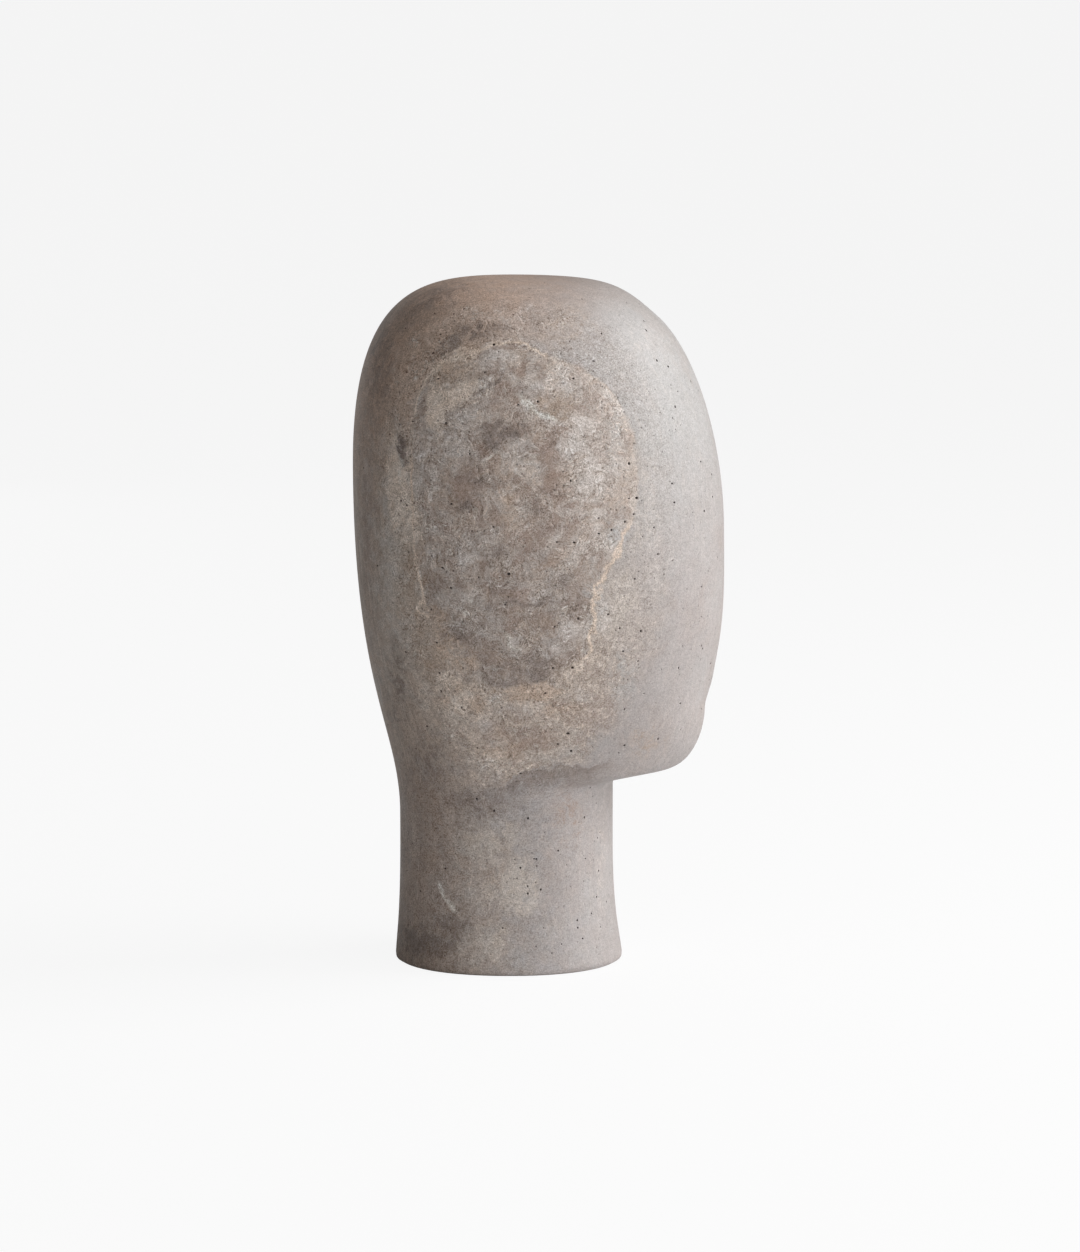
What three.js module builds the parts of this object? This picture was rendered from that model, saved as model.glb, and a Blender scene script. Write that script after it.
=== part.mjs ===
// A plain stone head on its neck, carved from one block. Millimetres, +Z up, face towards +X.
// The origin is at the middle of the flat underside. The two halves of the head mirror each other
// across the XZ plane. The stone is a stack of level egg-shaped sections whose front, back and side
// reach are read off three outlines, with a low nose raised on the front.
import * as THREE from 'three';

// Driving dimensions.
const HEIGHT = 380;
const HEAD_DEPTH = 205;
const HEAD_WIDTH = 158;
const NECK_DEPTH = 118.4;
const NECK_WIDTH = 114;

// How far the stone reaches to the front and back of the axis.
const FOREHEAD = 0.578 * HEAD_DEPTH;
const SKULL_BACK = HEAD_DEPTH - FOREHEAD;
const THROAT = 0.484 * NECK_DEPTH;
const NAPE = NECK_DEPTH - THROAT;

// The foot of the neck spreads a little, more to the front than to the back and sides.
const FOOT_FLARE = 5.3;
const NAPE_FLARE = 2.7;
const FOOT_HEIGHT = 0.18 * HEIGHT;
const EDGE_RADIUS = 2;

// Heights that the outlines pass through.
const JAW_HEIGHT = 0.274 * HEIGHT;
const CHIN_HEIGHT = 0.365 * HEIGHT;
const BROW_HEIGHT = 0.632 * HEIGHT;
const HAIRLINE_HEIGHT = 0.94 * HEIGHT;
const SWELL_START = 0.213 * HEIGHT;
const SKULL_HEIGHT = 0.728 * HEIGHT;
const SIDE_HEIGHT = 0.67 * HEIGHT;

// The front between them. An angle is the way that the outline climbs, from the face's direction.
const THROAT_RADIUS = 6;
const JAW_ANGLE = THREE.MathUtils.degToRad(9.4);
const JAW_LENGTH = 28.8;
const CHIN_SETBACK = 10.2;
const CHIN_ANGLE = THREE.MathUtils.degToRad(86.7);
const BROW_ANGLE = Math.PI / 2;
const HAIRLINE_REACH = 0.694 * FOREHEAD;
const HAIRLINE_ANGLE = THREE.MathUtils.degToRad(137.8);
const CROWN_SHOULDER = 0.458 * FOREHEAD;
const CROWN_X = 1;

// How far each bend of the front holds its angle, before the named place and after it.
const JAW_HOLD = 9.8;
const CHIN_HOLD = [14, 34];
const BROW_HOLD = [65.4, 48.2];
const HAIRLINE_HOLD = [27.4, 29.4];

// How far up the foot and the skull hold their upright stretches, and how broad the crown is.
const FLARE_SHARE = 0.65;
const FLARE_LOW = 0.25 * FOOT_HEIGHT;
const FLARE_HIGH = 0.4 * FOOT_HEIGHT;
const NECK_HOLD_HEIGHT = 0.341 * HEIGHT;
const SKULL_HOLD_HEIGHT = 0.392 * HEIGHT;
const CROWN_SHARE = 0.49;

// The egg shape of a level section.
const EGG_SHIFT = 6;
const SQUARENESS = 2.15;

// The nose is a long low wedge. It is highest near its tip and fades upwards into the forehead, and
// its lower edge rises from the tip towards the wings.
const NOSE_RISE = 2.4;
const NOSE_FOOT = 140;
const NOSE_TIP = 157.5;
const NOSE_TOP = 249;
const NOSE_HALF_WIDTH = 24;
const NOSE_EDGE_LIFT = 20;

const SECTION_POINTS = 72;
const HALVINGS = 40;

// Steps along the foot edge, flare, neck, throat, jaw, chin, face, brow and crown of the front.
const FRONT_STEPS = [3, 6, 2, 5, 3, 9, 14, 9, 9];

const STONE = new THREE.MeshStandardMaterial({ color: 0xa39a93, roughness: 0.5, metalness: 0 });

function at(reach, height) {
  return new THREE.Vector2(reach, height);
}

// The place at a distance from a point, along an angle. A negative distance goes back.
function along(point, angle, distance) {
  return at(Math.cos(angle), Math.sin(angle)).multiplyScalar(distance).add(point);
}

function bezier(start, startHandle, endHandle, end) {
  return new THREE.CubicBezierCurve(start, startHandle, endHandle, end);
}

function outline(curves) {
  const path = new THREE.CurvePath();
  curves.forEach((curve) => path.add(curve));
  return path;
}

// The small rounding between the underside and the foot of the neck.
function footEdge(reach) {
  return new THREE.EllipseCurve(
    reach - EDGE_RADIUS, EDGE_RADIUS, EDGE_RADIUS, EDGE_RADIUS, -Math.PI / 2, 0);
}

// The foot spreads a little from the neck down to the edge.
function footFlare(reach, spread) {
  return bezier(
    at(reach + spread, EDGE_RADIUS),
    at(reach + FLARE_SHARE * spread, FLARE_LOW),
    at(reach, FLARE_HIGH),
    at(reach, FOOT_HEIGHT));
}

// Front: neck, throat, underside of the jaw, chin, face, forehead and crown.
function frontOutline() {
  const throatMiddle = at(THROAT + THROAT_RADIUS, JAW_HEIGHT - THROAT_RADIUS);
  const throatEnd = Math.PI / 2 + JAW_ANGLE;
  const jawStart = along(throatMiddle, throatEnd, THROAT_RADIUS);
  const jawEnd = along(jawStart, JAW_ANGLE, JAW_LENGTH);
  const chin = at(FOREHEAD - CHIN_SETBACK, CHIN_HEIGHT);
  const brow = at(FOREHEAD, BROW_HEIGHT);
  const hairline = at(HAIRLINE_REACH, HAIRLINE_HEIGHT);
  return outline([
    footEdge(THROAT + FOOT_FLARE),
    footFlare(THROAT, FOOT_FLARE),
    new THREE.LineCurve(at(THROAT, FOOT_HEIGHT), at(THROAT, throatMiddle.y)),
    new THREE.EllipseCurve(
      throatMiddle.x, throatMiddle.y, THROAT_RADIUS, THROAT_RADIUS, Math.PI, throatEnd, true),
    new THREE.LineCurve(jawStart, jawEnd),
    bezier(
      jawEnd,
      along(jawEnd, JAW_ANGLE, JAW_HOLD),
      along(chin, CHIN_ANGLE, -CHIN_HOLD[0]),
      chin),
    bezier(
      chin,
      along(chin, CHIN_ANGLE, CHIN_HOLD[1]),
      along(brow, BROW_ANGLE, -BROW_HOLD[0]),
      brow),
    bezier(
      brow,
      along(brow, BROW_ANGLE, BROW_HOLD[1]),
      along(hairline, HAIRLINE_ANGLE, -HAIRLINE_HOLD[0]),
      hairline),
    bezier(
      hairline,
      along(hairline, HAIRLINE_ANGLE, HAIRLINE_HOLD[1]),
      at(CROWN_SHOULDER, HEIGHT),
      at(CROWN_X, HEIGHT)),
  ]);
}

// Back and side: neck, the swell of the skull, and the crown.
function skullOutline(neck, spread, skull, skullHeight, crown) {
  const neckTop = at(neck, SWELL_START);
  const widest = at(skull, skullHeight);
  return outline([
    footEdge(neck + spread),
    footFlare(neck, spread),
    new THREE.LineCurve(at(neck, FOOT_HEIGHT), neckTop),
    bezier(neckTop, at(neck, NECK_HOLD_HEIGHT), at(skull, SKULL_HOLD_HEIGHT), widest),
    bezier(widest, at(skull, HEIGHT), at(CROWN_SHARE * skull, HEIGHT), at(crown, HEIGHT)),
  ]);
}

// How far an outline reaches at a height. Every outline only ever climbs.
function reachAt(path, height) {
  const curve = path.curves.find((piece) => piece.getPoint(1).y >= height) ?? path.curves.at(-1);
  let low = 0;
  let high = 1;
  for (let halving = 0; halving < HALVINGS; halving += 1) {
    const middle = (low + high) / 2;
    if (curve.getPoint(middle).y < height) {
      low = middle;
    } else {
      high = middle;
    }
  }
  return curve.getPoint(high).x;
}

// How far the nose stands out at a height and a distance from the midline.
function noseAt(height, sideways) {
  const across = Math.min(1, Math.abs(sideways) / NOSE_HALF_WIDTH);
  const lift = NOSE_EDGE_LIFT * across;
  const below = THREE.MathUtils.smoothstep(height, NOSE_FOOT + lift, NOSE_TIP + lift);
  const above = 1 - THREE.MathUtils.smoothstep(height, NOSE_TIP, NOSE_TOP);
  const ridge = (1 + Math.cos(Math.PI * across)) / 2;
  return NOSE_RISE * below * above * ridge;
}

// One level section: two half eggs that meet at the widest place.
function section(front, back, side, height) {
  const frontReach = reachAt(front, height);
  const backReach = reachAt(back, height);
  const halfWidth = reachAt(side, height);
  const climb = height / HEIGHT;
  const widest = CROWN_X * climb + EGG_SHIFT * Math.sin(Math.PI * climb) ** 2;
  const points = [];
  for (let step = 0; step < SECTION_POINTS; step += 1) {
    const angle = (2 * Math.PI * step) / SECTION_POINTS;
    const along = Math.sign(Math.cos(angle)) * Math.abs(Math.cos(angle)) ** (2 / SQUARENESS);
    const across = Math.sign(Math.sin(angle)) * Math.abs(Math.sin(angle)) ** (2 / SQUARENESS);
    const length = along > 0 ? frontReach - widest : backReach + widest;
    const y = halfWidth * across;
    const nose = along > 0 ? noseAt(height, y) : 0;
    points.push(new THREE.Vector3(widest + length * along + nose, y, height));
  }
  return points;
}

// Joins the sections into one closed skin, with a flat underside and a point at the crown.
function skin(sections, bottom, top) {
  const rows = sections.length;
  const vertices = [...sections.flat(), bottom, top];
  const bottomIndex = rows * SECTION_POINTS;
  const topIndex = bottomIndex + 1;
  const index = [];
  for (let step = 0; step < SECTION_POINTS; step += 1) {
    const next = (step + 1) % SECTION_POINTS;
    index.push(bottomIndex, next, step);
    for (let row = 0; row + 1 < rows; row += 1) {
      const lower = row * SECTION_POINTS;
      const upper = lower + SECTION_POINTS;
      index.push(lower + step, lower + next, upper + next);
      index.push(lower + step, upper + next, upper + step);
    }
    const last = (rows - 1) * SECTION_POINTS;
    index.push(last + step, last + next, topIndex);
  }
  const geometry = new THREE.BufferGeometry().setFromPoints(vertices);
  geometry.setIndex(index);
  geometry.computeVertexNormals();
  return geometry;
}

function stoneHead() {
  const front = frontOutline();
  const back = skullOutline(NAPE, NAPE_FLARE, SKULL_BACK, SKULL_HEIGHT, -CROWN_X);
  const side = skullOutline(NECK_WIDTH / 2, NAPE_FLARE, HEAD_WIDTH / 2, SIDE_HEIGHT, 0);
  const heights = front.curves.flatMap((curve, place) => (
    curve.getPoints(FRONT_STEPS[place]).slice(0, -1).map((point) => point.y)));
  const sections = heights.map((height) => section(front, back, side, height));
  const mesh = new THREE.Mesh(
    skin(sections, new THREE.Vector3(0, 0, 0), new THREE.Vector3(CROWN_X, 0, HEIGHT)), STONE);
  mesh.name = 'stone_head';
  return mesh;
}

const head = new THREE.Group();
head.add(stoneHead());

export default head;
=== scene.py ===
"""A plain head carved from travertine, honed smooth, standing on its flat-cut neck.

The stone is one piece. Its form comes from three outlines, front, back and side, read at level
sections. Pits are cut into the mesh, and the bedding of the stone is worked out in depth, so that
the layers show as rings on the sides and as streaks on the face, the back and the crown.
"""

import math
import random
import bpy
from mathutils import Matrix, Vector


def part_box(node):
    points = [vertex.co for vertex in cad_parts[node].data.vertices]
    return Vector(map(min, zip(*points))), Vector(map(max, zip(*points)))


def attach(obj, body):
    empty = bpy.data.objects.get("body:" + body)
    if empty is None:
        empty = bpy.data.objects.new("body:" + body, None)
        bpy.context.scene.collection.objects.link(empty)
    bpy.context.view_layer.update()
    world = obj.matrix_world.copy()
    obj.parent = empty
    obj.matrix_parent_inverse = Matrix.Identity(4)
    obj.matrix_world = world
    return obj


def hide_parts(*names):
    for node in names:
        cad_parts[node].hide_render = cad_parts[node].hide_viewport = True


bl_info = {
    "name": "Travertine Head",
    "version": (1, 0, 0),
    "blender": (4, 5, 0),
    "location": "3D View > Sidebar > Travertine Head",
    "description": "Builds a honed travertine head with its pits, bedding and veins, and its stage",
    "category": "Add Mesh",
}

import bpy
from bpy.props import FloatProperty, FloatVectorProperty, IntProperty, PointerProperty
from mathutils import Vector, noise

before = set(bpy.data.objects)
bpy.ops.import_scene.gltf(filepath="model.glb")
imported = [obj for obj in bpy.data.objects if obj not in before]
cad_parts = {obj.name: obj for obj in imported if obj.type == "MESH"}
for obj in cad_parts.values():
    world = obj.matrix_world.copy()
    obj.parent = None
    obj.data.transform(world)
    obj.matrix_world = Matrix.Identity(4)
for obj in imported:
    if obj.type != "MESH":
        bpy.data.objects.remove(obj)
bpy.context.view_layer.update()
LOW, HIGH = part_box("stone_head")

MM = 0.001
HEIGHT = HIGH.z
SKULL_BACK = -LOW.x
FOREHEAD_SHARE = 0.578
FOREHEAD = SKULL_BACK * FOREHEAD_SHARE / (1 - FOREHEAD_SHARE)
HALF_WIDTH = HIGH.y

# Heights that the outlines pass through.
FOOT_HEIGHT = 0.18 * HEIGHT
JAW_HEIGHT = 0.274 * HEIGHT
CHIN_HEIGHT = 0.365 * HEIGHT
BROW_HEIGHT = 0.632 * HEIGHT
HAIRLINE_HEIGHT = 0.94 * HEIGHT
SWELL_START = 0.213 * HEIGHT
SKULL_HEIGHT = 0.728 * HEIGHT
SIDE_HEIGHT = 0.67 * HEIGHT

# The bends of the front. An angle is the way that the outline climbs, from the face's direction, and
# a hold is how far a bend keeps its angle, before the named place and after it.
CHIN_ANGLE = math.radians(86.7)
BROW_ANGLE = math.pi / 2
HAIRLINE_ANGLE = math.radians(137.8)
HAIRLINE_REACH = 0.694 * FOREHEAD
CROWN_SHOULDER = 0.458 * FOREHEAD
CROWN_X = 1 * MM
JAW_HOLD = 9.8 * MM
CHIN_HOLD = (14 * MM, 34 * MM)
BROW_HOLD = (65.4 * MM, 48.2 * MM)
HAIRLINE_HOLD = (27.4 * MM, 29.4 * MM)

# How far up the foot and the skull hold their upright stretches, and how broad the crown is.
FLARE_SHARE = 0.65
FLARE_LOW = 0.25 * FOOT_HEIGHT
FLARE_HIGH = 0.4 * FOOT_HEIGHT
NECK_HOLD_HEIGHT = 0.341 * HEIGHT
SKULL_HOLD_HEIGHT = 0.392 * HEIGHT
CROWN_SHARE = 0.49

# The egg shape of a section, and the heights of the nose.
EGG_SHIFT = 6 * MM
NOSE_FOOT = 140 * MM
NOSE_TIP = 157.5 * MM
NOSE_TOP = 249 * MM
NOSE_EDGE_LIFT = 20 * MM

# The bake map: the side fills it above this height, and the underside lies in the corner below.
SIDE_MAP_LOW = 0.13
UNDER_MAP_SCALE = 0.95

# A pit has two sides to each side of its cell. Its stretch, its uneven rim and its depths are shares
# of its radius, and the most that it reaches and strays are shares of the cell.
PIT_SIDES = 8
PIT_STRETCH = (0.75, 1.3)
PIT_RIM = (0.8, 1.08)
PIT_REACH = 0.42
PIT_STRAY = 0.46
PIT_DEPTH = 1.5

# A pit of a larger radius has a steep wall down to a ledge, and a smaller one is a plain cone.
DEEP_PIT = 0.5 * MM
LEDGE_WIDTH = 0.8
LEDGE_DEPTH = 0.9

# How likely a place that is tried gets a pit: anywhere, and how much more in a crowd and on the near
# side, where the chance rises between two distances from the mirror plane. The higher the power, the
# more small pits there are to a large one.
PLAIN_CHANCE = 0.22
CROWD_CHANCE = 0.75
CROWD_SPACING = 16 * MM
CROWD_START = Vector((7, 3, 5))
SIDE_CHANCE = 0.3
SIDE_RISE = (55 * MM, 66 * MM)
SMALL_PIT_POWER = 4

# Rows of cells without pits, at the foot and on the crown.
FOOT_ROWS = 4
CROWN_ROWS = 12

# Steps in the search for a reach, and in the walk along one curve of an outline.
HALVINGS = 40
WALK_STEPS = 200

# Pits that stand out on the near side: x, z and radius in millimetres.
NEAR_PITS = (
    (9, 87, 1.0), (67, 263, 1.0), (31, 135, 0.9), (31, 125, 0.8), (37, 27, 0.7), (40, 18, 0.7),
    (5, 60, 0.7), (1, 63, 0.5), (-3, 52, 0.45), (3, 53, 0.5), (13, 51, 0.45), (-13, 64, 0.5),
    (-26, 150, 0.6), (-3, 225, 0.9), (-32, 216, 0.7), (-9, 347, 1.0), (14, 317, 0.7),
    (35, 199, 0.7), (32, 173, 1.0), (71, 190, 0.7), (79, 337, 0.8), (86, 333, 0.8),
    (89, 312, 0.8), (-57, 259, 0.7), (-40, 184, 0.7), (64, 282, 0.8), (34, 328, 0.6))


def size(name, description, default):
    """A length that a user may change, in metres."""
    return FloatProperty(
        name=name, description=description, default=default, unit="LENGTH", precision=4)


def colour(name, description, default):
    """A colour that a user may change, as linear red, green and blue."""
    return FloatVectorProperty(
        name=name, description=description, default=default, subtype="COLOR", min=0.0, max=1.0)


class StoneSizes(bpy.types.PropertyGroup):
    """Sizes of the head and its neck."""

    neck_depth: size("Neck depth", "Throat to nape", 118.4 * MM)
    neck_width: size("Neck width", "Across the neck", 114 * MM)
    throat_share: FloatProperty(
        name="Throat share", description="Part of the neck's depth ahead of the axis", default=0.484)
    foot_flare: size("Foot flare", "How far the front of the foot spreads", 5.3 * MM)
    nape_flare: size("Nape flare", "How far the back and sides of the foot spread", 2.7 * MM)
    edge_radius: size("Edge radius", "Rounding of the foot's edge", 2 * MM)
    throat_radius: size("Throat radius", "Fillet between neck and jaw", 6 * MM)
    jaw_length: size("Jaw length", "Straight underside of the jaw", 28.8 * MM)
    jaw_slope: FloatProperty(
        name="Jaw slope", description="Rise of the underside", default=math.radians(9.4),
        subtype="ANGLE")
    chin_setback: size("Chin setback", "Chin behind the forehead", 10.2 * MM)
    nose_rise: size("Nose rise", "Height of the nose above the face", 2.4 * MM)
    nose_half_width: size("Nose half width", "Midline to a wing", 24 * MM)
    squareness: FloatProperty(
        name="Squareness", description="2 is an ellipse, more is squarer", default=2.15)
    around: IntProperty(name="Points around", description="Points in a section", default=256)
    step: size("Section step", "Distance between sections along the front", 2.1 * MM)


class StonePits(bpy.types.PropertyGroup):
    """The open pits that are cut into the skin."""

    count: IntProperty(name="Pits", description="How many places for a pit are tried", default=4600)
    smallest: size("Smallest", "Radius of the smallest pit", 0.22 * MM)
    largest: size("Largest", "Radius of the largest scattered pit", 0.75 * MM)
    seed: IntProperty(name="Seed", description="Start of the random draws", default=11)


class StoneColours(bpy.types.PropertyGroup):
    """Colours of the travertine's layers, stains and veins."""

    mauve: colour("Mauve", "Even grey of the face side", (0.424, 0.384, 0.37))
    umber: colour("Umber", "Browner grey of the back", (0.46, 0.371, 0.308))
    beige: colour("Beige", "Warm layer round the vein", (0.475, 0.395, 0.335))
    core: colour("Core", "Clouded stone inside the vein", (0.445, 0.372, 0.326))
    # Dark also paints the shade just below the jaw.
    dark: colour("Dark", "Grey brown smudges", (0.26, 0.208, 0.18))
    brown: colour("Brown", "Brown stains", (0.375, 0.282, 0.235))
    pale: colour("Pale", "Whitish clouds", (0.65, 0.582, 0.538))
    white: colour("White", "Whitest streaks", (0.74, 0.695, 0.64))
    tan: colour("Tan", "Tan and rusty stains", (0.545, 0.42, 0.335))
    ochre: colour("Ochre", "Ochre stains", (0.455, 0.355, 0.285))
    cream: colour("Cream", "Cream stains and bands", (0.75, 0.635, 0.545))
    vein: colour("Vein", "Thin tan vein", (0.725, 0.595, 0.495))
    ash: colour("Ash", "Cool grey of the forehead", (0.448, 0.431, 0.421))
    fawn: colour("Fawn", "Light warm patches of the neck and back", (0.595, 0.525, 0.47))
    rust: colour("Rust", "Reddish wash of the crown", (0.61, 0.44, 0.345))
    soot: colour("Soot", "Darkest spot, beside the vein", (0.2, 0.155, 0.14))
    # This colour stands for dirt in the pits together with painted shade of their depth.
    pit_dirt_and_shade: colour("Hollow", "Dirt in the pits", (0.07, 0.058, 0.05))


class StageLook(bpy.types.PropertyGroup):
    """The floor and the studio light. Each light's value is its power in watts."""

    floor: colour("Floor", "Pale plain floor", (0.86, 0.86, 0.86))
    world: FloatProperty(name="Room light", description="Strength of the even light", default=0.08)
    side_high: FloatProperty(name="High side light", description="Before the face, above", default=33.0)
    side_low: FloatProperty(name="Low side light", description="Before the face, level", default=17.0)
    corner: FloatProperty(name="Corner light", description="Between face and side", default=10.0)
    front: FloatProperty(name="Front light", description="Beside the camera, above", default=7.0)
    back: FloatProperty(name="Back light", description="Behind the head", default=3.0)


class HeadSettings(bpy.types.PropertyGroup):
    """Everything that a user may change."""

    sizes: PointerProperty(type=StoneSizes)
    pits: PointerProperty(type=StonePits)
    colours: PointerProperty(type=StoneColours)
    stage: PointerProperty(type=StageLook)


class Bezier:
    """A cubic curve of reach against height, between two ends with two handles."""

    def __init__(self, *corners):
        self.corners = [Vector(corner) for corner in corners]

    def at(self, t):
        a, b, c, d = self.corners
        s = 1 - t
        return a * s ** 3 + b * (3 * s * s * t) + c * (3 * s * t * t) + d * t ** 3


class Line(Bezier):
    """A straight stretch of an outline."""

    def __init__(self, start, end):
        start, end = Vector(start), Vector(end)
        super().__init__(start, start.lerp(end, 1 / 3), start.lerp(end, 2 / 3), end)


class Arc:
    """A round stretch of an outline."""

    def __init__(self, middle, radius, start, end):
        self.middle, self.radius, self.start, self.end = Vector(middle), radius, start, end

    def at(self, t):
        angle = self.start + (self.end - self.start) * t
        return self.middle + Vector((math.cos(angle), math.sin(angle))) * self.radius


def along(point, angle, distance):
    """The place at a distance from a point, along an angle. A negative distance goes back."""
    return Vector(point) + Vector((math.cos(angle), math.sin(angle))) * distance


def foot(reach, spread, edge):
    """The rounded edge of the foot and its flare into the neck."""
    return [
        Arc((reach + spread - edge, edge), edge, -math.pi / 2, 0),
        Bezier((reach + spread, edge), (reach + FLARE_SHARE * spread, FLARE_LOW),
               (reach, FLARE_HIGH), (reach, FOOT_HEIGHT)),
    ]


def front_outline(sizes):
    """Foot, throat, underside of the jaw, chin, face, forehead and crown."""
    throat = sizes.throat_share * sizes.neck_depth
    radius = sizes.throat_radius
    throat_middle = Vector((throat + radius, JAW_HEIGHT - radius))
    throat_end = math.pi / 2 + sizes.jaw_slope
    jaw_start = along(throat_middle, throat_end, radius)
    jaw_end = along(jaw_start, sizes.jaw_slope, sizes.jaw_length)
    chin = Vector((FOREHEAD - sizes.chin_setback, CHIN_HEIGHT))
    brow = Vector((FOREHEAD, BROW_HEIGHT))
    hairline = Vector((HAIRLINE_REACH, HAIRLINE_HEIGHT))
    return foot(throat, sizes.foot_flare, sizes.edge_radius) + [
        Line((throat, FOOT_HEIGHT), (throat, throat_middle.y)),
        Arc(throat_middle, radius, math.pi, throat_end),
        Line(jaw_start, jaw_end),
        Bezier(jaw_end, along(jaw_end, sizes.jaw_slope, JAW_HOLD),
               along(chin, CHIN_ANGLE, -CHIN_HOLD[0]), chin),
        Bezier(chin, along(chin, CHIN_ANGLE, CHIN_HOLD[1]),
               along(brow, BROW_ANGLE, -BROW_HOLD[0]), brow),
        Bezier(brow, along(brow, BROW_ANGLE, BROW_HOLD[1]),
               along(hairline, HAIRLINE_ANGLE, -HAIRLINE_HOLD[0]), hairline),
        Bezier(hairline, along(hairline, HAIRLINE_ANGLE, HAIRLINE_HOLD[1]),
               (CROWN_SHOULDER, HEIGHT), (CROWN_X, HEIGHT)),
    ]


def skull_outline(neck, flare, edge, skull, skull_height, crown):
    """Foot, neck, swell of the skull and crown, at the back or the side."""
    neck_top, widest = (neck, SWELL_START), (skull, skull_height)
    return foot(neck, flare, edge) + [
        Line((neck, FOOT_HEIGHT), neck_top),
        Bezier(neck_top, (neck, NECK_HOLD_HEIGHT), (skull, SKULL_HOLD_HEIGHT), widest),
        Bezier(widest, (skull, HEIGHT), (CROWN_SHARE * skull, HEIGHT), (crown, HEIGHT)),
    ]


def reach_at(outline, height):
    """How far an outline reaches at a height. Every outline only ever climbs."""
    curve = next((piece for piece in outline if piece.at(1).y >= height), outline[-1])
    low, high = 0.0, 1.0
    for _ in range(HALVINGS):
        middle = (low + high) / 2
        if curve.at(middle).y < height:
            low = middle
        else:
            high = middle
    return curve.at(high).x


def level_places(outline, step):
    """Heights of the sections and the way walked along the outline to each."""
    dense = [curve.at(n / WALK_STEPS) for curve in outline for n in range(WALK_STEPS)]
    dense.append(outline[-1].at(1))
    walked = [0.0]
    for before, after in zip(dense, dense[1:]):
        walked.append(walked[-1] + (after - before).length)
    rows = round(walked[-1] / step)
    places, spot = [], 0
    for row in range(rows):
        target = walked[-1] * row / rows
        while walked[spot + 1] < target:
            spot += 1
        share = (target - walked[spot]) / (walked[spot + 1] - walked[spot])
        places.append((dense[spot].lerp(dense[spot + 1], share).y, target / walked[-1]))
    return places


def smooth(value, low, high):
    """0 below low, 1 above high, and an even curve between."""
    t = min(1.0, max(0.0, (value - low) / (high - low)))
    return t * t * (3 - 2 * t)


def nose_at(height, sideways, sizes):
    """How far the nose stands out. Its lower edge rises from the tip towards the wings."""
    across = min(1.0, abs(sideways) / sizes.nose_half_width)
    lift = NOSE_EDGE_LIFT * across
    below = smooth(height, NOSE_FOOT + lift, NOSE_TIP + lift)
    above = 1 - smooth(height, NOSE_TIP, NOSE_TOP)
    return sizes.nose_rise * below * above * (1 + math.cos(math.pi * across)) / 2


class HeadForm:
    """The smooth head. A point on it is named by its height and its angle round the axis."""

    def __init__(self, sizes):
        self.sizes = sizes
        edge, flare = sizes.edge_radius, sizes.nape_flare
        nape = (1 - sizes.throat_share) * sizes.neck_depth
        self.front = front_outline(sizes)
        self.back = skull_outline(nape, flare, edge, SKULL_BACK, SKULL_HEIGHT, -CROWN_X)
        self.side = skull_outline(
            sizes.neck_width / 2, flare, edge, HALF_WIDTH, SIDE_HEIGHT, 0)

    def section(self, height):
        """Reach to the front, back and side, and the place of the greatest width."""
        climb = height / HEIGHT
        widest = CROWN_X * climb + EGG_SHIFT * math.sin(math.pi * climb) ** 2
        return (reach_at(self.front, height), reach_at(self.back, height),
                reach_at(self.side, height), widest)

    def point(self, section, height, angle):
        """The point of a section at an angle, 0 at the face."""
        front, back, side, widest = section
        power = 2 / self.sizes.squareness
        along = math.copysign(abs(math.cos(angle)) ** power, math.cos(angle))
        across = math.copysign(abs(math.sin(angle)) ** power, math.sin(angle))
        length = front - widest if along > 0 else back + widest
        y = side * across
        rise = nose_at(height, y, self.sizes) if along > 0 else 0.0
        return Vector((widest + length * along + rise, y, height))


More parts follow.
